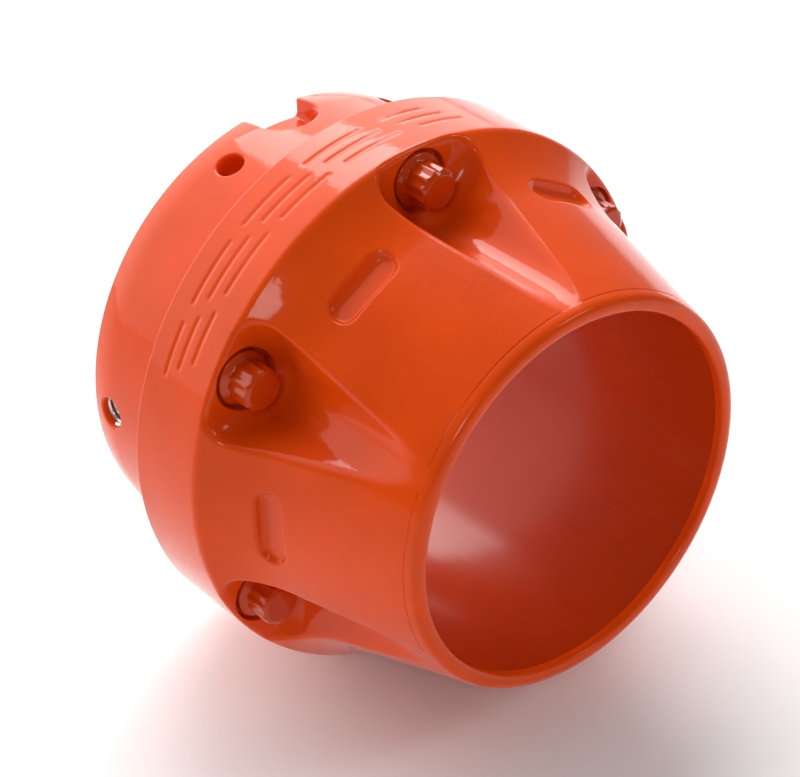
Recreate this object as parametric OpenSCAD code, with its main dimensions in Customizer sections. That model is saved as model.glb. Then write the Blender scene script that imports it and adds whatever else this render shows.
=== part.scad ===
// Muffler end cap bolted to its mounting ring. Millimetres, +Z up.
// The axis lies along Y: the outlet mouth faces -Y and the spigot faces +Y.
// Origin: on the axis, at the collar's rear shoulder plane.
// Each module is drawn about local Z, then laid over, so local z is distance towards the mouth.

/* [Collar and nose] */
// collar outside diameter
collar_d = 114.3; // [113.5:0.1:118]
// collar width along the axis
collar_w = 18.7; // [17:0.1:21]
// radius of the concave flare in front of the collar
flare_r = 33.84; // [31:0.1:36]
// slope of the nose behind the lip, from the axis
nose_slope = 15.28; // [14:0.1:16]
// slope where the flare leaves the collar, from the axis
crease_slope = 44.14; // [42:0.1:46]
// distance from the shoulder plane to the mouth
mouth_z = 63.1; // [61:0.1:66]
// outlet bore diameter
bore_d = 75.3; // [73:0.1:76]
// crown radius of the rounded lip
lip_r = 2.46; // [2.3:0.02:3]

/* [Bolts and pockets] */
// number of bolts, pockets and recesses
bolts = 6; // [6:1:6]
// bolt circle diameter
bolt_pcd = 100; // [99:0.1:101]
// distance from the shoulder plane to the bolt seats
seat_z = 16.7; // [15.5:0.1:18]
// seat diameter
seat_d = 12.5; // [11.5:0.1:13.5]
// bolt flange diameter
bolt_flange_d = 11; // [10:0.1:11.2]
// bolt head diameter across its points
bolt_head_d = 8.9; // [8.4:0.1:9.2]
// bolt head height above the seat
bolt_head_h = 8.1; // [7:0.1:9]
// bolt shank diameter
bolt_d = 6.2; // [6:0.05:6.25]
// bolt length under the head
bolt_len = 12.7; // [11:0.1:13]
// pocket width at the collar
pocket_w = 25.14; // [23:0.1:26]
// pocket floor radius, from the axis
pocket_floor_r = 41.7; // [41.5:0.1:43]

/* [Recesses] */
// recess length around the nose
slot_len = 16; // [12:0.5:18]
// recess width along the axis
slot_w = 5.6; // [4:0.1:6.5]
// distance from the shoulder plane to the recess centre
slot_z = 31.3; // [30:0.1:33]
// radius of the recess floor from the axis
slot_floor_r = 47.5; // [46.5:0.1:48.2]

/* [Mounting ring] */
// spigot diameter
spigot_d = 99.32; // [98:0.02:100]
// spigot length behind the shoulder plane
spigot_len = 26.5; // [24:0.1:30]
// inside diameter of the ring
ring_bore_d = 82; // [81.8:0.1:84]
// thickness of the ring's flange, inside the collar
flange_t = 12.7; // [12:0.1:13.2]
// relief notch width
notch_w = 12.8; // [10:0.1:16]
// distance from the shoulder plane back to the notch's end
notch_z = 14.75; // [12:0.25:18]
// direction of the relief notch around the axis
notch_at = 91.3; // [85:0.1:97]
// first threaded side hole around the axis
side_at = 179.2; // [176:0.1:184]
// first plain side hole around the axis
plain_at = 111.6; // [108:0.1:116]

/* [Hidden] */
$fn = 96;
collar_r = collar_d / 2;
bore_r = bore_d / 2;
spigot_r = spigot_d / 2;
ring_r = ring_bore_d / 2;
bolt_c = bolt_pcd / 2;
step = 360 / bolts;
first = 30;
eps = 1;
// the flare: a circle tangent to the nose cone, through the collar's front edge
flare_cr = collar_r + flare_r * cos(crease_slope);
flare_cz = collar_w + flare_r * sin(crease_slope);
flare_end_r = flare_cr - flare_r * cos(nose_slope);
flare_end_z = flare_cz - flare_r * sin(nose_slope);
lip_z = mouth_z - 0.9;
lip_outer_r = flare_end_r - (lip_z - flare_end_z) * tan(nose_slope);
lip_cr = bore_r + 1.345;
lip_cz = mouth_z - lip_r;
lip_from = acos((lip_outer_r - lip_cr) / lip_r);
lip_to = acos((bore_r - lip_cr) / lip_r);
flare_steps = 8;
lip_steps = 4;
edge = 0.5;
// the cap's rear cavity holds the ring's flange
cavity_r = collar_r - 3.1;
web_z = flange_t;
sleeve_r = ring_r - 0.2;
flange_r = cavity_r - 0.05;
// pocket section: a large circle at the collar, a small one at the floor and their tangents
pocket_ra = pocket_w / 2;
pocket_rb = 6.9;
pocket_ca = 56.6;
pocket_cb = pocket_floor_r + pocket_rb;
pocket_sin = (pocket_ra - pocket_rb) / (pocket_ca - pocket_cb);
pocket_cos = sqrt(1 - pocket_sin * pocket_sin);
// the back face stands just behind the crease
pocket_back = collar_w - 0.1;
// keeps the joining flats just inside the circles
tangent_inset = 0.05;
// spigot lead-in
lead_z = 21.94;
lead_r = spigot_r - 0.86;
// notch floor
notch_floor_r = 44.86;
// threaded and plain holes
bolt_insert_r = 3.9;
bolt_insert_bore_r = 3.15;
bolt_insert_len = 9;
side_hole_r = 3.15;
side_insert_r = 3.13;
side_insert_bore_r = 2.5;
side_insert_len = 6;
side_insert_top = 48.9;
side_z = -20;
side_count = 3;
plain_hole_r = 2.75;
plain_z = -16.8;
sink = 0.3;
gap = 0.02;

// lays a shape drawn about local Z over, so its front faces the mouth
module lay() {
    rotate([90, 0, 0])
        children();
}

// places a shape at bolt number i, counted from 0
module at_bolt(i) {
    rotate([0, 0, first + i * step])
        translate([bolt_c, 0, 0])
            children();
}

// places a shape drawn along +Z so it runs outwards from the axis
module outwards(a, z) {
    rotate([0, 0, a])
        translate([0, 0, z])
            rotate([0, 90, 0])
                children();
}

// points along an arc of radius r about c, from angle a to angle b measured from the axis
function arc(c, r, a, b, steps) = [
    for (i = [0 : steps])
        let (t = a + (b - a) * i / steps)
            [c[0] + r * cos(t), c[1] + r * sin(t)]
];

// half section of the cap, radius across and distance forward up
module cap_section() {
    flare = arc([flare_cr, flare_cz], -flare_r, crease_slope, nose_slope, flare_steps);
    lip = arc([lip_cr, lip_cz], lip_r, lip_from, lip_to, lip_steps);
    difference() {
        polygon(concat(
            [[bore_r, 0], [collar_r - edge, 0], [collar_r, edge]],
            flare,
            lip
        ));
        polygon([
            [sleeve_r, -eps],
            [cavity_r, -eps],
            [cavity_r, web_z],
            [sleeve_r, web_z]
        ]);
    }
}

// outline of a pocket pointing along +X from the axis: two circles joined along their tangents
module pocket_outline() {
    ra = pocket_ra - tangent_inset;
    rb = pocket_rb - tangent_inset;
    translate([pocket_ca, 0])
        circle(r = pocket_ra);
    translate([pocket_cb, 0])
        circle(r = pocket_rb);
    polygon([
        [pocket_ca - ra * pocket_sin, ra * pocket_cos],
        [pocket_cb - rb * pocket_sin, rb * pocket_cos],
        [pocket_cb - rb * pocket_sin, -rb * pocket_cos],
        [pocket_ca - ra * pocket_sin, -ra * pocket_cos]
    ]);
}

// one pocket, open at the front
module pocket(i) {
    rotate([0, 0, first + i * step])
        translate([0, 0, pocket_back])
            linear_extrude(height = mouth_z)
                pocket_outline();
}

// a shallow round-ended recess with a floor parallel to the axis
module recess(i) {
    straight = slot_len - slot_w;
    rotate([0, 0, i * step])
        translate([slot_floor_r, 0, slot_z])
            rotate([0, 90, 0])
                linear_extrude(height = 12) {
                    square([slot_w, straight], center = true);
                    translate([0, straight / 2])
                        circle(d = slot_w);
                    translate([0, -straight / 2])
                        circle(d = slot_w);
                }
}

module end_cap() {
    color([0.91, 0.31, 0.12])
        lay()
            difference() {
                rotate_extrude()
                    cap_section();
                for (i = [0 : bolts - 1]) {
                    pocket(i);
                    recess(i);
                    at_bolt(i)
                        translate([0, 0, seat_z])
                            cylinder(d = seat_d, h = collar_w - seat_z + 0.5);
                    at_bolt(i)
                        translate([0, 0, web_z - eps])
                            cylinder(r = bolt_d / 2 + 0.3, h = seat_z - web_z + 1.5 * eps);
                }
            }
}

// half section of the mounting ring
module ring_section() {
    polygon([
        [ring_r, -spigot_len],
        [lead_r, -spigot_len],
        [spigot_r, -lead_z],
        [spigot_r, 0],
        [flange_r, 0],
        [flange_r, flange_t - gap],
        [ring_r, flange_t - gap]
    ]);
}

// cutter for the relief notch: round front end, open at the rear, flat-bottomed
module notch() {
    difference() {
        outwards(notch_at, 0)
            linear_extrude(height = collar_r) {
                translate([notch_z + notch_w / 2, 0])
                    circle(d = notch_w);
                translate([notch_z + notch_w / 2, -notch_w / 2])
                    square([spigot_len, notch_w]);
            }
        translate([0, 0, -2 * spigot_len])
            cylinder(r = notch_floor_r, h = 2 * spigot_len + eps);
    }
}

module mounting_ring() {
    color([0.88, 0.30, 0.12])
        lay()
            difference() {
                rotate_extrude()
                    ring_section();
                notch();
                for (i = [0 : bolts - 1])
                    at_bolt(i)
                        translate([0, 0, 1.5])
                            cylinder(r = bolt_insert_r, h = flange_t);
                for (i = [0 : side_count - 1]) {
                    outwards(side_at + i * 120, side_z)
                        translate([0, 0, ring_r - 3])
                            cylinder(r = side_hole_r, h = 15);
                    outwards(side_at + i * 120, side_z)
                        translate([0, 0, spigot_r - sink - 0.1])
                            cylinder(r1 = side_hole_r, r2 = side_hole_r + 1, h = 1);
                    outwards(plain_at + i * 120, plain_z)
                        translate([0, 0, ring_r - 3])
                            cylinder(r = plain_hole_r, h = 15);
                }
            }
}

// twelve-point flange bolt, its seat face at local z = 0 and its head forward
module bolt(i) {
    color([0.90, 0.31, 0.13])
        lay()
            at_bolt(i)
                translate([0, 0, seat_z]) {
                    translate([0, 0, -bolt_len])
                        cylinder(d1 = bolt_d - 1, d2 = bolt_d, h = 0.5);
                    translate([0, 0, 0.5 - bolt_len])
                        cylinder(d = bolt_d, h = bolt_len - 0.5 + gap);
                    translate([0, 0, gap])
                        cylinder(d = bolt_flange_d, h = 1.7);
                    translate([0, 0, 1.7 + gap])
                        cylinder(d1 = bolt_flange_d, d2 = bolt_head_d - 0.4, h = 0.8);
                    intersection() {
                        union() {
                            cylinder(d = bolt_head_d, h = bolt_head_h, $fn = 6);
                            rotate([0, 0, 30])
                                cylinder(d = bolt_head_d, h = bolt_head_h, $fn = 6);
                        }
                        union() {
                            translate([0, 0, gap])
                                cylinder(d = bolt_head_d + 1, h = bolt_head_h - 0.9);
                            translate([0, 0, bolt_head_h - 0.9])
                                cylinder(d1 = bolt_head_d + 1, d2 = bolt_head_d - 2.2, h = 0.9);
                        }
                    }
                }
}

// sleeve that stands for the wound wire of a bolt's thread insert
module bolt_insert(i) {
    color([0.72, 0.73, 0.74])
        lay()
            at_bolt(i)
                translate([0, 0, flange_t - 0.6 - bolt_insert_len])
                    difference() {
                        cylinder(r = bolt_insert_r - gap, h = bolt_insert_len);
                        translate([0, 0, -eps])
                            cylinder(r = bolt_insert_bore_r, h = bolt_insert_len + 2 * eps);
                    }
}

// sleeve that stands for the wound wire of a side hole's thread insert
module side_insert(i) {
    color([0.75, 0.76, 0.77])
        lay()
            outwards(side_at + i * 120, side_z)
                translate([0, 0, side_insert_top - side_insert_len])
                    difference() {
                        cylinder(r = side_insert_r, h = side_insert_len);
                        translate([0, 0, -eps])
                            cylinder(r = side_insert_bore_r, h = side_insert_len + 2 * eps);
                    }
}

end_cap();
mounting_ring();
for (i = [0 : bolts - 1]) {
    bolt(i);
    bolt_insert(i);
}
for (i = [0 : side_count - 1]) {
    side_insert(i);
}
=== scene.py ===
import math

import bpy
import numpy as np
from mathutils import Matrix, Vector

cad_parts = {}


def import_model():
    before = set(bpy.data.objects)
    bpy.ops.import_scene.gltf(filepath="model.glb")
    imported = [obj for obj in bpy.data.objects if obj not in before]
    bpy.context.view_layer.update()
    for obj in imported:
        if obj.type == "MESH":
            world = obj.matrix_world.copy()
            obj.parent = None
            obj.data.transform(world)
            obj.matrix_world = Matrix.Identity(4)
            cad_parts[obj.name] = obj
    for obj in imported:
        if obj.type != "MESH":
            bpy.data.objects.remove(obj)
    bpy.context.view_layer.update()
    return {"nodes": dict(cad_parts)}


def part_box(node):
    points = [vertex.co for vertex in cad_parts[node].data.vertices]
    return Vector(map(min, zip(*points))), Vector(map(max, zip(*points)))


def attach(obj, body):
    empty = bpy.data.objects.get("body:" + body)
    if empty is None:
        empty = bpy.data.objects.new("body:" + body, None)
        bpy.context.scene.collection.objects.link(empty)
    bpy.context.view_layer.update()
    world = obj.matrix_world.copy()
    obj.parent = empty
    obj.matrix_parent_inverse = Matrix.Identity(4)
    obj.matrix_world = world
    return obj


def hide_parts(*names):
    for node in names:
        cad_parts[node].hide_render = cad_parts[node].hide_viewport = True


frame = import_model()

# ---------------------------------------------------------------- sizes
# Millimetres. s runs along the axis from the shoulder plane towards the mouth, so y = -s.
MM = 0.001
cap_low, cap_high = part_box("end_cap")
_, ring_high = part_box("mounting_ring")
COLLAR_R = cap_high.x / MM
MOUTH_S = -cap_low.y / MM
REAR_S = -ring_high.y / MM
COLLAR_W = 18.7
# the concave flare's radius and its slopes where it meets the collar and the nose cone
FLARE_RHO, CREASE_SLOPE, NOSE_SLOPE = 33.84, math.radians(44.14), math.radians(15.28)
BORE_R = 37.65
LIP_R, LIP_CENTRE_R = 2.46, 38.995
# the bolts' seats and the inside of the cap, whose cavity takes the ring's flange
BOLT_CIRCLE, SEAT_S, SEAT_R = 50.0, 16.7, 6.25
SLEEVE_R, CAVITY_R, CAVITY_S = 40.8, COLLAR_R - 3.1, 12.7
FLANGE_R, FLANGE_S = 54.0, 12.68
# pockets and recesses, with the fillets of their floors
COUNT, POCKET_AT, POCKET_STEP = 6, 30, 60
POCKET_A, POCKET_RA = 56.6, 12.57
POCKET_B, POCKET_RB = 48.6, 6.9
POCKET_FILLET = 5.0
SLOT_S, SLOT_HALF, SLOT_HALF_W = 31.3, 8.0, 2.8
SLOT_FLOOR, SLOT_LEAN, SLOT_FILLET = 47.75, 0.20, 1.3
# spigot with its lead-in, relief notch and side holes; angles round the axis are in degrees
SPIGOT_R, RING_R, LEAD_S, LEAD_ANGLE = 49.66, 41.0, -21.94, 0.186
NOTCH_AT, NOTCH_HALF, NOTCH_END_S, NOTCH_FLOOR = 91.3, 6.4, -14.75, 44.86
SIDE_COUNT, SIDE_STEP = 3, 120
SIDE_AT, SIDE_S, SIDE_R = 179.2, -20.0, 3.15
PLAIN_AT, PLAIN_S, PLAIN_R = 111.6, -16.8, 2.75
# the collar's outside runs from its rounded rear edge to where the meshed nose starts
SEAM_S, REAR_EDGE = 16.0, 0.5
# widths over which edges are rounded
CREASE_ROUND, LIP_ROUND, MOUTH_ROUND = 0.7, 0.35, 0.5
POCKET_ROUND, SEAT_ROUND, SLOT_ROUND = 1.0, 0.3, 0.7
RING_ROUND, RIM_ROUND, NOTCH_ROUND = 0.5, 0.7, 1.5
# how far from the mouth the bore's edge is rounded, and how much of the bore the nose's mesh keeps
MOUTH_BAND, MOUTH_KEPT = 2.6, 2.0
# distances that mean well outside and well inside, and the step for measuring slopes
FAR, DEEP, PROBE = 50.0, -10.0, 0.02
# plain grooves round the collar's top, in groups of three: middle angle in degrees and half length
GROOVES = ((148, 5.0), (132, 6.5), (115, 6.0), (98, 6.5), (81, 5.0))
GROOVE_S, GROOVE_STEP, GROOVE_LEAN = 8.8, 3.2, 2.4
GROOVE_HALF, GROOVE_EDGE, GROOVE_DEPTH = 0.40, 0.35, 0.20

# bolts: heights above the seat and radii
SHANK_ROWS = (
    (-12.7, 0.0), (-12.7, 2.6), (-12.2, 3.1), (-6.0, 3.1), (0.02, 3.1),
    (0.02, 5.25), (0.06, 5.40), (0.16, 5.5),
)
HEAD_BANDS = ((0.5, 1.5, 3), (1.6, 3.3, 22), (3.5, 6.8, 8), (6.95, 8.02, 16))
END_ROWS = ((8.07, 3.36), (8.09, 3.28), (8.1, 3.1), (8.1, 1.6), (8.1, 0.02))
HEAD_POINTS, HEAD_TRIM_R, HEAD_COLUMNS = 8.9, 4.36, 192
WASHER_R, WASHER_TOP, WASHER_SLOPE = 5.5, 1.75, 1.75
CHAMFER_R, CHAMFER_TOP, CHAMFER_SLOPE = 3.42, 8.05, 1.45
FLUTE_ROUND, TRIM_ROUND, WASHER_ROUND, NECK_ROUND, CHAMFER_ROUND = 0.16, 0.10, 0.30, 0.35, 0.16
# the turn of each head about its own axis, in degrees
HEAD_TURNS = (8, 20, 3, 14, 26, 11)

# side inserts: the wire's section as (radius, height), and its helix from the outer end inwards
WIRE_SECTION = ((2.5, -0.07), (2.5, 0.07), (2.97, 0.38), (3.11, 0.38), (3.11, -0.38), (2.97, -0.38))
WIRE_TOP, WIRE_PITCH, WIRE_TURNS, WIRE_STEPS = 48.9 - 0.42, 0.98, 5.2, 64


# ---------------------------------------------------------------- distance functions
def smax(a, b, k):
    """Larger of two distances, rounded over a band of k."""
    h = np.maximum(k - np.abs(a - b), 0) / k
    return np.maximum(a, b) + h * h * k / 4


def filleted(outline, floor_gap, fillet):
    """Distance to a hollow with the given outline and floor, whose floor edge has a fillet."""
    u, v = outline + fillet, floor_gap + fillet
    return np.minimum(np.maximum(u, v), 0) + np.hypot(np.maximum(u, 0), np.maximum(v, 0)) - fillet


def turn_from(theta, degrees):
    """Angle from a place round the axis, between minus and plus half a turn."""
    return np.arctan2(np.sin(theta - math.radians(degrees)), np.cos(theta - math.radians(degrees)))


def flare_centre():
    """Centre (r, s) of the concave flare's arc."""
    return (
        COLLAR_R + FLARE_RHO * math.cos(CREASE_SLOPE),
        COLLAR_W + FLARE_RHO * math.sin(CREASE_SLOPE),
    )


def outer_distance(r, s):
    """Distance outside the cap's turned outline: collar, concave flare, nose cone, rounded lip."""
    cr, cs = flare_centre()
    end_r = cr - FLARE_RHO * math.cos(NOSE_SLOPE)
    end_s = cs - FLARE_RHO * math.sin(NOSE_SLOPE)
    circle = FLARE_RHO - np.hypot(r - cr, s - cs)
    cone = (r - end_r) * math.cos(NOSE_SLOPE) + (s - end_s) * math.sin(NOSE_SLOPE)
    along = -(r - end_r) * math.sin(NOSE_SLOPE) + (s - end_s) * math.cos(NOSE_SLOPE)
    nose = np.where(along < 0, circle, cone)
    d = smax(r - COLLAR_R, nose, CREASE_ROUND)
    crown = np.hypot(r - LIP_CENTRE_R, s - (MOUTH_S - LIP_R)) - LIP_R
    crown = np.where(s > MOUTH_S - LIP_R, crown, DEEP)
    return smax(d, crown, LIP_ROUND)


def pocket_distance(x, t, s):
    """Distance to one pocket, negative in it: two circles and their tangents."""
    h = POCKET_A - POCKET_B
    b = (POCKET_RB - POCKET_RA) / h
    a = math.sqrt(1 - b * b)
    px, py = np.abs(t), x - POCKET_B
    k = -b * px + a * py
    side = px * a + py * b - POCKET_RB
    low = np.hypot(px, py) - POCKET_RB
    high = np.hypot(px, py - h) - POCKET_RA
    section = np.where(k < 0, low, np.where(k > a * h, high, side))
    return filleted(section, COLLAR_W - s, POCKET_FILLET)


def slot_distance(x, t, s):
    """Distance to one recess, negative in it: round ends, a rounded floor edge."""
    along = np.maximum(np.abs(t) - (SLOT_HALF - SLOT_HALF_W), 0)
    outline = np.hypot(along, s - SLOT_S) - SLOT_HALF_W
    floor_x = SLOT_FLOOR - (s - SLOT_S) * SLOT_LEAN
    return filleted(outline, floor_x - x, SLOT_FILLET)


def cap_distance(phi, r, s):
    """Distance outside the cap in one sixth of it; phi is measured from the pocket's middle."""
    d = outer_distance(r, s)
    d = np.where(s > MOUTH_S - MOUTH_BAND, smax(d, BORE_R - r, MOUTH_ROUND), d)
    x, t = r * np.cos(phi), r * np.sin(phi)
    d = smax(d, -pocket_distance(x, t, s), POCKET_ROUND)
    seat = np.maximum(np.hypot(x - BOLT_CIRCLE, t) - SEAT_R, SEAT_S - s)
    d = smax(d, -seat, SEAT_ROUND)
    for side in (-1, 1):
        turn = phi - side * math.pi / COUNT
        d = smax(d, -slot_distance(r * np.cos(turn), r * np.sin(turn), s), SLOT_ROUND)
    return d


def ring_distance(theta, r, s):
    """Distance outside the spigot part of the mounting ring, with its notch and side holes."""
    lead = (r - SPIGOT_R) * math.cos(LEAD_ANGLE) - (s - LEAD_S) * math.sin(LEAD_ANGLE)
    d = smax(r - SPIGOT_R, lead, RING_ROUND)
    d = smax(d, REAR_S - s, RIM_ROUND)
    d = smax(d, RING_R - r, RING_ROUND)
    turn = turn_from(theta, NOTCH_AT)
    t = r * np.sin(turn)
    front = NOTCH_END_S - NOTCH_HALF
    outline = np.hypot(t, np.maximum(s - front, 0)) - NOTCH_HALF
    away = np.where(np.abs(turn) < 0.5, 0, FAR)
    notch = smax(outline, NOTCH_FLOOR - r, NOTCH_ROUND) + away
    d = smax(d, -notch, RIM_ROUND)
    for first, place, radius in ((SIDE_AT, SIDE_S, SIDE_R), (PLAIN_AT, PLAIN_S, PLAIN_R)):
        for k in range(SIDE_COUNT):
            a = theta - math.radians(first + SIDE_STEP * k)
            hole = np.hypot(r * np.sin(a), s - place) - radius
            hole = np.where(np.cos(a) > 0, hole, FAR)
            d = smax(d, -hole, RIM_ROUND)
    return d


# ---------------------------------------------------------------- meshing
def surface_net(distance, u_axis, v_axis, w_axis, wrap_u):
    """Quads over the zero surface of distance(u, v, w). With wrap_u, u is closed round."""
    nv, nw = len(v_axis), len(w_axis)
    grid = np.meshgrid(u_axis, v_axis, w_axis, indexing="ij")
    f = distance(*grid)
    inside = f < 0
    if wrap_u:
        f = np.concatenate([f, f[:1]], 0)
        inside = np.concatenate([inside, inside[:1]], 0)
    cells = (f.shape[0] - 1, nv - 1, nw - 1)
    total = np.zeros(cells + (3,))
    count = np.zeros(cells)
    for axis in range(3):
        lo = [slice(None)] * 3
        hi = [slice(None)] * 3
        lo[axis], hi[axis] = slice(0, -1), slice(1, None)
        a, b = f[tuple(lo)], f[tuple(hi)]
        cross = (a < 0) != (b < 0)
        part = np.where(cross, a / np.where(cross, a - b, 1), 0)
        others = [k for k in range(3) if k != axis]
        for i in (0, 1):
            for j in (0, 1):
                cut = [slice(None)] * 3
                for o, n in zip(others, (i, j)):
                    cut[o] = slice(n, f.shape[o] - 1 + n)
                c = cross[tuple(cut)]
                count += c
                total[..., axis] += np.where(c, part[tuple(cut)], 0)
                total[..., others[0]] += c * i
                total[..., others[1]] += c * j
    active = count > 0
    ids = np.full(cells, -1)
    ids[active] = np.arange(active.sum())
    where = np.argwhere(active)
    local = total[active] / count[active][:, None]
    quads, jumps = [], []
    for axis in range(3):
        lo = [slice(None)] * 3
        hi = [slice(None)] * 3
        lo[axis], hi[axis] = slice(0, -1), slice(1, None)
        a, b = inside[tuple(lo)], inside[tuple(hi)]
        edges = np.argwhere(a != b)
        o1, o2 = [(axis + 1) % 3, (axis + 2) % 3]
        keep = np.ones(len(edges), bool)
        for o in (o1, o2):
            if wrap_u and o == 0:
                keep &= edges[:, 0] < cells[0]
            else:
                keep &= (edges[:, o] > 0) & (edges[:, o] < cells[o])
        edges = edges[keep]
        flip = a[tuple(edges.T)]
        corners, wraps = [], []
        for d1, d2 in ((1, 1), (0, 1), (0, 0), (1, 0)):
            c = edges.copy()
            c[:, o1] -= d1
            c[:, o2] -= d2
            w = (c[:, 0] < 0).astype(int)
            c[:, 0] = np.where(c[:, 0] < 0, cells[0] - 1, c[:, 0])
            corners.append(ids[tuple(c.T)])
            wraps.append(w)
        q, w = np.stack(corners, 1), np.stack(wraps, 1)
        q[~flip] = q[~flip][:, ::-1]
        w[~flip] = w[~flip][:, ::-1]
        quads.append(q)
        jumps.append(w)
    axes = (u_axis, v_axis, w_axis)
    place = np.stack([
        axes[k][0] + (where[:, k] + local[:, k]) * (axes[k][1] - axes[k][0]) for k in range(3)
    ], 1)
    return place, np.concatenate(quads), np.concatenate(jumps)


def relax(distance, place, steps=4):
    """Moves points in cylinder coordinates onto the zero surface. Returns them and their slopes."""
    p = place.copy()
    e = PROBE
    for step in range(steps + 1):
        r = p[:, 1]
        d = distance(p[:, 0], r, p[:, 2])
        theta, s = p[:, 0], p[:, 2]
        gu = (distance(theta + e / r, r, s) - distance(theta - e / r, r, s)) / (2 * e)
        gr = (distance(theta, r + e, s) - distance(theta, r - e, s)) / (2 * e)
        gs = (distance(theta, r, s + e) - distance(theta, r, s - e)) / (2 * e)
        g = np.stack([gu, gr, gs], 1)
        size = np.maximum(np.linalg.norm(g, axis=1), 0.2)
        if step < steps:
            move = np.clip(d / size, -0.25, 0.25)[:, None] * g / size[:, None]
            p[:, 0] -= move[:, 0] / r
            p[:, 1] -= move[:, 1]
            p[:, 2] -= move[:, 2]
    return p, g / size[:, None]


def to_row(theta, r, s):
    """Cylinder coordinates in mm to the row frame in metres."""
    return np.stack([r * np.cos(theta), -s, r * np.sin(theta)], 1) * MM


def turned_points(x, t, s, turn):
    """Points in mm, x out and t across from a place at an angle round the axis, to the row frame."""
    c, n = math.cos(turn), math.sin(turn)
    return np.stack([x * c - t * n, -s, x * n + t * c], 1) * MM


def slope_to_row(theta, g):
    """Slopes round, out from and along the axis, turned into the row frame."""
    c, n = np.cos(theta), np.sin(theta)
    return np.stack([g[:, 1] * c - g[:, 0] * n, -g[:, 2], g[:, 1] * n + g[:, 0] * c], 1)


class Sheets:
    """Collects stretches of surface and makes them one mesh with smooth normals."""

    def __init__(self):
        self.points, self.normals, self.faces, self.base = [], [], [], 0

    def add(self, points, normals, faces):
        points, normals = np.asarray(points, float), np.asarray(normals, float)
        faces = np.asarray(faces, int)
        one_way = points[faces[:, 2]] - points[faces[:, 0]]
        other_way = points[faces[:, 3]] - points[faces[:, 1]]
        wrong = (np.cross(one_way, other_way) * normals[faces].sum(1)).sum(1) < 0
        faces[wrong] = faces[wrong][:, ::-1]
        self.points.append(points)
        self.normals.append(normals)
        self.faces.append(faces + self.base)
        self.base += len(points)

    def lathe(self, profile, theta):
        """Turns a profile of (r, s) points. Its outside is on the right of its direction."""
        profile = np.asarray(profile, float)
        step = np.gradient(profile, axis=0)
        out = np.stack([step[:, 1], -step[:, 0]], 1)
        out /= np.linalg.norm(out, axis=1)[:, None]
        rows, n = len(profile), len(theta)
        a, i = np.tile(theta, rows), np.repeat(np.arange(rows), n)
        g = np.stack([np.zeros(len(a)), out[i, 0], out[i, 1]], 1)
        self.add(to_row(a, profile[i, 0], profile[i, 1]), slope_to_row(a, g), strip_faces(rows, n))

    def build(self, name, material):
        points = np.concatenate(self.points)
        normals = np.concatenate(self.normals)
        faces = np.concatenate(self.faces)
        return make_mesh(name, points, faces, normals, material)


def strip_faces(rows, n):
    """Quads between rows of n points each, closed round."""
    i, j = np.meshgrid(np.arange(rows - 1), np.arange(n), indexing="ij")
    i, j = i.ravel(), j.ravel()
    k = (j + 1) % n
    return np.stack([i * n + j, (i + 1) * n + j, (i + 1) * n + k, i * n + k], 1)


def make_mesh(name, points, faces, normals, material):
    """Smooth-shaded object in the scene, with its own normals where they are given."""
    mesh = bpy.data.meshes.new(name)
    mesh.from_pydata(np.asarray(points).tolist(), [], np.asarray(faces).tolist())
    mesh.polygons.foreach_set("use_smooth", np.ones(len(mesh.polygons), bool))
    if normals is not None:
        mesh.normals_split_custom_set_from_vertices(np.asarray(normals, float).tolist())
    mesh.materials.append(material)
    mesh.update()
    o = bpy.data.objects.new(name, mesh)
    bpy.context.scene.collection.objects.link(o)
    return o


def ring_of(step_mm, radius):
    """Angles of one turn, about step_mm apart at the radius."""
    n = int(round(2 * math.pi * radius / step_mm))
    return np.arange(n) * 2 * math.pi / n


# ---------------------------------------------------------------- pieces
def cap_nose(sheets):
    """Flare, nose, lip, pockets and recesses: one sixth is meshed and turned round the axis."""
    half = math.pi / COUNT
    pitch = 0.34
    columns = int(round(2 * half * COLLAR_R / pitch))
    phi = -half + np.arange(columns) * 2 * half / columns
    r = np.arange(BORE_R - 0.75, COLLAR_R + 3 * pitch, pitch)
    s = SEAM_S + pitch * np.arange(int((MOUTH_S - SEAM_S) / pitch) + 3)
    place, quads, jumps = surface_net(cap_distance, phi, r, s, True)
    place, slope = relax(cap_distance, place)
    edge = (place[:, 2] < SEAM_S + pitch) & (place[:, 1] > COLLAR_R - 1)
    place[edge, 2] = SEAM_S
    place[edge, 1] = COLLAR_R
    middle_s = place[quads][:, :, 2].mean(1)
    middle_r = place[quads][:, :, 1].mean(1)
    quads_kept = (middle_r > BORE_R + 0.6) | (middle_s > MOUTH_S - MOUTH_KEPT)
    quads, jumps = quads[quads_kept], jumps[quads_kept]
    used = np.unique(quads)
    bore = used[place[used, 1] < BORE_R + 0.1]
    seam = place[bore, 2].min()
    place[bore[place[bore, 2] < seam + pitch / 2], 2] = seam
    n = len(place)
    points, normals, faces = [], [], []
    for k in range(COUNT):
        theta = place[:, 0] + math.radians(POCKET_AT + POCKET_STEP * k)
        points.append(to_row(theta, place[:, 1], place[:, 2]))
        normals.append(slope_to_row(theta, slope))
        faces.append(quads + n * ((k - jumps) % COUNT))
    sheets.add(np.concatenate(points), np.concatenate(normals), np.concatenate(faces))
    return seam


def groove_relief(theta, s):
    """Depth of the shallow slanted grooves round the top of the collar."""
    depth = np.zeros_like(s)
    for middle, half_length in GROOVES:
        for row in (-1, 0, 1):
            along = np.abs(COLLAR_R * turn_from(theta, middle) + row * GROOVE_LEAN) - half_length
            d = np.hypot(np.maximum(along, 0), s - GROOVE_S - row * GROOVE_STEP) - GROOVE_HALF
            depth += 0.5 - 0.5 * np.tanh(d / GROOVE_EDGE)
    return GROOVE_DEPTH * depth


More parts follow.
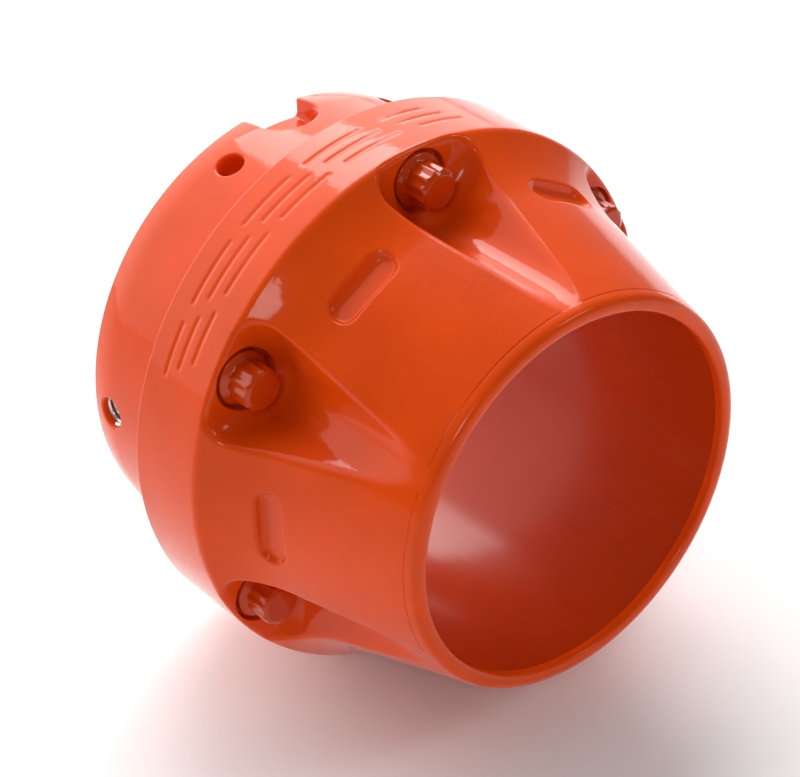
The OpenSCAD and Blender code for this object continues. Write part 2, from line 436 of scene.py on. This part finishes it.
def cap_collar(sheets):
    """The collar's outside with its relief, and its rear edge and face."""
    pitch = 0.26
    theta = ring_of(pitch, COLLAR_R)
    s_axis = np.linspace(REAR_EDGE, SEAM_S, int((SEAM_S - REAR_EDGE) / pitch))
    rows, n = len(s_axis), len(theta)
    a = np.tile(theta, rows)
    s = np.repeat(s_axis, n)
    e = PROBE
    depth = groove_relief(a, s)
    da = (groove_relief(a + e / COLLAR_R, s) - groove_relief(a - e / COLLAR_R, s)) / (2 * e)
    ds = (groove_relief(a, s + e) - groove_relief(a, s - e)) / (2 * e)
    g = np.stack([da, np.ones(len(a)), ds], 1)
    g /= np.linalg.norm(g, axis=1)[:, None]
    sheets.add(to_row(a, COLLAR_R - depth, s), slope_to_row(a, g), strip_faces(rows, n))
    turn = np.linspace(math.pi / 2, 0, 9)
    edge = [(COLLAR_R - REAR_EDGE * (1 - math.cos(t)), REAR_EDGE * (1 - math.sin(t))) for t in turn]
    sheets.lathe(edge, ring_of(0.5, COLLAR_R))
    sheets.lathe([(CAVITY_R, 0), (COLLAR_R - REAR_EDGE, 0)], ring_of(0.8, COLLAR_R))


def turned_faces(sheets, theta, corners):
    """Turned faces with sharp edges between them, along a line of (r, s) corners."""
    for a, b in zip(corners, corners[1:]):
        sheets.lathe([a, b], theta)


def cap_inside(sheets, from_s):
    """The bore and the rear cavity that takes the ring's flange."""
    theta = ring_of(0.5, BORE_R)
    chamfer = 0.3
    sheets.lathe([(BORE_R, s) for s in np.linspace(from_s, chamfer, 60)], theta)
    turned_faces(sheets, theta, (
        (BORE_R, chamfer), (BORE_R + chamfer, 0), (SLEEVE_R, 0),
        (SLEEVE_R, CAVITY_S), (CAVITY_R, CAVITY_S), (CAVITY_R, 0),
    ))


def ring_body(sheets):
    """The spigot with its notch and holes, then the flange that sits inside the cap."""
    pitch = 0.36
    theta = ring_of(pitch, SPIGOT_R)
    r = np.arange(RING_R - 0.7, SPIGOT_R + 2 * pitch, pitch)
    s = np.arange(REAR_S - 2 * pitch, 0.01, pitch)
    s = s - s[-1]
    place, quads, jumps = surface_net(ring_distance, theta, r, s, True)
    place, slope = relax(ring_distance, place)
    place[place[:, 2] > -pitch, 2] = 0
    turn, r, s = place.T
    sheets.add(to_row(turn, r, s), slope_to_row(turn, slope), quads)
    turned_faces(sheets, ring_of(0.8, SPIGOT_R), (
        (SPIGOT_R, 0), (FLANGE_R, 0), (FLANGE_R, FLANGE_S), (RING_R, FLANGE_S), (RING_R, 0),
    ))


def hexagon(a, across_points):
    """Radius of a hexagon's side at angle a."""
    sixth = math.pi / 3
    return across_points / 2 * math.cos(sixth / 2) / np.cos(np.mod(a, sixth) - sixth / 2)


def bolt_mesh(name, number, phase, material):
    """Twelve-point flange bolt: plain shank, washer face, fluted head and chamfered end."""
    columns = HEAD_COLUMNS
    a = np.arange(columns) * 2 * math.pi / columns

    def level(value):
        return np.full(columns, value)

    first, second = hexagon(a + phase, HEAD_POINTS), hexagon(a + phase + math.pi / 6, HEAD_POINTS)
    star = smax(first, second, FLUTE_ROUND)
    star = -smax(-star, level(-HEAD_TRIM_R), TRIM_ROUND)
    rows = [(z, level(r)) for z, r in SHANK_ROWS]
    for z in np.concatenate([np.linspace(*band) for band in HEAD_BANDS]):
        top = level(-WASHER_R + (z - WASHER_TOP) * WASHER_SLOPE)
        washer = -smax(level(-WASHER_R), top, WASHER_ROUND)
        r = smax(star, washer, NECK_ROUND)
        r = -smax(-r, level(-CHAMFER_R - (CHAMFER_TOP - z) * CHAMFER_SLOPE), CHAMFER_ROUND)
        rows.append((z, r))
    rows += [(z, level(r)) for z, r in END_ROWS]
    z = np.repeat([row[0] for row in rows], columns) + SEAT_S
    r = np.concatenate([row[1] for row in rows])
    turn = np.tile(a, len(rows))
    x, t = BOLT_CIRCLE + r * np.cos(turn), r * np.sin(turn)
    b = math.radians(POCKET_AT + POCKET_STEP * number)
    points = turned_points(x, t, z, b)
    faces = strip_faces(len(rows), columns)
    return make_mesh(name, points, faces[:, ::-1], None, material)


def wire_insert(name, number, material):
    """Wound wire of a side hole's thread insert: a six-sided section along a helix."""
    section = np.array(WIRE_SECTION)
    n = int(WIRE_TURNS * WIRE_STEPS)
    w = np.arange(n) / WIRE_STEPS
    a = np.repeat(w * 2 * math.pi, len(section))
    r = np.tile(section[:, 0], n)
    out = WIRE_TOP - np.repeat(w, len(section)) * WIRE_PITCH + np.tile(section[:, 1], n)
    b = math.radians(SIDE_AT + SIDE_STEP * number)
    t, s = r * np.cos(a), SIDE_S + r * np.sin(a)
    points = turned_points(out, t, s, b)
    m = len(section)
    faces = []
    for i in range(n - 1):
        for j in range(m):
            k = (j + 1) % m
            faces.append((i * m + j, i * m + k, (i + 1) * m + k, (i + 1) * m + j))
    return make_mesh(name, points, faces, None, material)


# ---------------------------------------------------------------- materials
def node_material(name):
    """New material with its node tree and shader."""
    m = bpy.data.materials.new(name)
    m.use_nodes = True
    return m, m.node_tree, m.node_tree.nodes["Principled BSDF"]


def settings(shader, **values):
    """Sets sockets of the shader, whose names are written with underscores for spaces."""
    for name, value in values.items():
        shader.inputs[name.replace("_", " ")].default_value = value


def noise(tree, scale, detail, rough, stretch=(1, 1, 1)):
    """Noise over the object's own coordinates, with scale in cycles a metre."""
    place = tree.nodes.new("ShaderNodeTexCoord")
    size = tree.nodes.new("ShaderNodeMapping")
    size.inputs["Scale"].default_value = stretch
    n = tree.nodes.new("ShaderNodeTexNoise")
    n.inputs["Scale"].default_value = scale
    n.inputs["Detail"].default_value = detail
    n.inputs["Roughness"].default_value = rough
    tree.links.new(place.outputs["Object"], size.inputs["Vector"])
    tree.links.new(size.outputs["Vector"], n.inputs["Vector"])
    return n.outputs["Fac"]


def grey(value):
    return (value, value, value, 1)


def vary(tree, fac, socket, low, high):
    """Drives a socket between two colours, or greys, by a noise."""
    r = tree.nodes.new("ShaderNodeValToRGB")
    r.color_ramp.elements[0].position, r.color_ramp.elements[0].color = 0.3, low
    r.color_ramp.elements[1].position, r.color_ramp.elements[1].color = 0.7, high
    tree.links.new(fac, r.inputs["Fac"])
    tree.links.new(r.outputs["Color"], socket)


def bump(tree, shader, height, strength, distance, sockets=("Normal",)):
    b = tree.nodes.new("ShaderNodeBump")
    b.inputs["Strength"].default_value = strength
    b.inputs["Distance"].default_value = distance
    tree.links.new(height, b.inputs["Height"])
    for name in sockets:
        tree.links.new(b.outputs["Normal"], shader.inputs[name])


def paint(name, colour, rough, coat_index, peel):
    """Powder coat: even colour with slight clouding, a clear top layer and fine orange peel."""
    m, tree, shader = node_material(name)
    darker = tuple(c * 0.90 for c in colour) + (1,)
    lighter = tuple(min(1, c * 1.05) for c in colour) + (1,)
    vary(tree, noise(tree, 60, 3, 0.5), shader.inputs["Base Color"], darker, lighter)
    spread = noise(tree, 220, 4, 0.6)
    vary(tree, spread, shader.inputs["Roughness"], grey(rough * 0.85), grey(rough * 1.15))
    settings(shader, Coat_Weight=1.0, Coat_Roughness=0.03, Coat_IOR=coat_index)
    settings(shader, Specular_IOR_Level=0.05)
    bump(tree, shader, noise(tree, 900, 3, 0.5), peel, 0.0002, ("Normal", "Coat Normal"))
    return m


def bore_paint():
    """The same coat on the turned bore: duller, its orange darkened as painted shade for the shaded
    inside, with streaks along the axis.
    """
    m, tree, shader = node_material("bore_painted_shade")
    cloud = noise(tree, 40, 3, 0.5)
    vary(tree, cloud, shader.inputs["Base Color"], BORE_PAINTED_SHADE_DARK + (1,), BORE_PAINTED_SHADE_LIGHT + (1,))
    streak = noise(tree, 700, 5, 0.65, (1, 0.08, 1))
    vary(tree, streak, shader.inputs["Roughness"], grey(0.24), grey(0.40))
    settings(shader, Coat_Weight=0.8, Coat_Roughness=0.15, Coat_IOR=1.25, Specular_IOR_Level=0.1)
    bump(tree, shader, streak, 0.12, 0.0003, ("Normal", "Coat Normal"))
    return m


def bare_thread():
    """Bright wound wire, drawn along its length."""
    m, tree, shader = node_material("bare_thread")
    drawn = noise(tree, 3000, 4, 0.6)
    vary(tree, drawn, shader.inputs["Base Color"], grey(0.55), grey(0.75))
    vary(tree, drawn, shader.inputs["Roughness"], grey(0.22), grey(0.38))
    settings(shader, Metallic=1.0)
    bump(tree, shader, drawn, 0.2, 0.0001)
    return m


def floor_paint():
    """Pale paper with a faint grain."""
    m, tree, shader = node_material("floor_paper")
    vary(tree, noise(tree, 30, 4, 0.5), shader.inputs["Base Color"], grey(0.90), grey(0.93))
    settings(shader, Roughness=0.6)
    return m


# ---------------------------------------------------------------- build
ORANGE = (0.78, 0.068, 0.002)
# painted shade: the bore's two oranges are darker than the outside's to stand in for the shade inside
# the cap, with a random cloud between them
BORE_PAINTED_SHADE_LIGHT = (0.50, 0.038, 0.001)
BORE_PAINTED_SHADE_DARK = (0.44, 0.032, 0.001)
BOLT_ORANGE = (0.56, 0.044, 0.001)

orange = paint("painted", ORANGE, rough=0.34, coat_index=1.24, peel=0.10)
orange_bolt = paint("painted_bolt", BOLT_ORANGE, rough=0.30, coat_index=1.38, peel=0.12)
bore_painted_shade_coat = bore_paint()
thread = bare_thread()

cap_skin = Sheets()
seam_s = cap_nose(cap_skin)
cap_collar(cap_skin)
cap_body = cap_skin.build("cap_body", orange)
bore_skin = Sheets()
cap_inside(bore_skin, seam_s)
# the bore and the rear cavity get the darker coat, which is painted shade
cap_bore = bore_skin.build("cap_bore", bore_painted_shade_coat)
ring_skin = Sheets()
ring_body(ring_skin)
ring_piece = ring_skin.build("ring_body", orange)

for piece, node in ((cap_body, "end_cap"), (cap_bore, "end_cap"), (ring_piece, "mounting_ring")):
    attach(piece, "root")
    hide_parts(node)

for k in range(COUNT):
    head = bolt_mesh(f"bolt_piece_{k + 1}", k, math.radians(HEAD_TURNS[k]), orange_bolt)
    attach(head, "root")
    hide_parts(f"bolt_{k + 1}")
    sleeve = frame["nodes"][f"bolt_insert_{k + 1}"]
    sleeve.data.materials.clear()
    sleeve.data.materials.append(thread)
for k in range(SIDE_COUNT):
    wire = wire_insert(f"side_wire_{k + 1}", k, thread)
    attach(wire, "root")
    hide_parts(f"side_insert_{k + 1}")


# ---------------------------------------------------------------- stage
# the surroundings' brightness by how far a direction leans towards BRIGHT_SIDE, from 0 to 1
BRIGHT_SIDE = (0.0, 0.94, 0.34)
DIM_LEVEL, WORLD_STRENGTH = 0.05, 2.7
WORLD_STEPS = ((0.60, 0.06), (0.76, 0.12), (0.785, 0.55), (0.9, 0.9))
# name, place in metres, size and power of each lamp
LIGHTS = (
    ("top_back", (0.6, 0.9, 1.1), (0.9, 0.6), 12),
    ("front_left", (-0.9, -0.9, 0.9), (0.35, 0.35), 4.0),
    ("front_right", (0.7, -0.9, 0.8), (0.35, 0.35), 2.5),
)
FLOOR_HALF = 4.0
# camera: degrees round, up and of roll, and its place from the collar's front in collar radii
CAMERA_TURN, CAMERA_LIFT, CAMERA_ROLL = -39.8, 32.07, 2.75
CAMERA_RIGHT, CAMERA_UP, CAMERA_BACK = -0.097, 0.0427, 8.881
CAMERA_LENS, SENSOR_W = 115.13, 36.0


def floor():
    """A wide pale sheet under the collar."""
    half, low = FLOOR_HALF, -COLLAR_R * MM
    points = [(-half, -half, low), (half, -half, low), (half, half, low), (-half, half, low)]
    o = make_mesh("floor", points, [(0, 1, 2, 3)], None, floor_paint())


def area_light(name, place, size, power):
    """Lamp that faces the origin."""
    data = bpy.data.lights.new(name, "AREA")
    data.shape, data.size, data.size_y, data.energy = "RECTANGLE", size[0], size[1], power
    o = bpy.data.objects.new(name, data)
    bpy.context.scene.collection.objects.link(o)
    o.location = place
    o.rotation_euler = (-Vector(place)).to_track_quat("-Z", "Y").to_euler()


def world():
    """White surroundings: a bright tent behind and above the object, dim in front of it."""
    w = bpy.data.worlds.new("studio")
    bpy.context.scene.world = w
    w.use_nodes = True
    tree = w.node_tree
    place = tree.nodes.new("ShaderNodeTexCoord")
    toward = tree.nodes.new("ShaderNodeVectorMath")
    toward.operation = "DOT_PRODUCT"
    toward.inputs[1].default_value = BRIGHT_SIDE
    level = tree.nodes.new("ShaderNodeValToRGB")
    level.color_ramp.elements[0].position, level.color_ramp.elements[0].color = 0.0, grey(DIM_LEVEL)
    level.color_ramp.elements[1].position, level.color_ramp.elements[1].color = 1.0, grey(1.0)
    for position, value in WORLD_STEPS:
        level.color_ramp.elements.new(position).color = grey(value)
    shift = tree.nodes.new("ShaderNodeMapRange")
    shift.inputs["From Min"].default_value = -1.0
    tree.links.new(place.outputs["Generated"], toward.inputs[0])
    tree.links.new(toward.outputs["Value"], shift.inputs["Value"])
    tree.links.new(shift.outputs["Result"], level.inputs["Fac"])
    background = tree.nodes["Background"]
    tree.links.new(level.outputs["Color"], background.inputs["Color"])
    background.inputs["Strength"].default_value = WORLD_STRENGTH


def camera():
    """Seen from the mouth end, from the left and above."""
    turn, lift = math.radians(CAMERA_TURN), math.radians(CAMERA_LIFT)
    right = Vector((math.cos(turn), math.sin(turn), 0))
    up = Vector((-math.sin(turn) * math.sin(lift), math.cos(turn) * math.sin(lift), math.cos(lift)))
    back = Vector((math.sin(turn) * math.cos(lift), -math.cos(turn) * math.cos(lift), math.sin(lift)))
    unit = COLLAR_R * MM
    centre = Vector((0, -COLLAR_W * MM, 0))
    place = centre + unit * (CAMERA_RIGHT * right + CAMERA_UP * up + CAMERA_BACK * back)
    m = Matrix((right, up, back)).transposed().to_4x4()
    m.translation = place
    data = bpy.data.cameras.new("camera")
    data.lens, data.sensor_width = CAMERA_LENS, SENSOR_W
    data.clip_start = 0.01
    o = bpy.data.objects.new("camera", data)
    bpy.context.scene.collection.objects.link(o)
    o.matrix_world = Matrix.Rotation(math.radians(CAMERA_ROLL), 4, "Y") @ m
    bpy.context.scene.camera = o


floor()
world()
for light in LIGHTS:
    area_light(*light)
camera()
bpy.context.scene.view_settings.view_transform = "Standard"
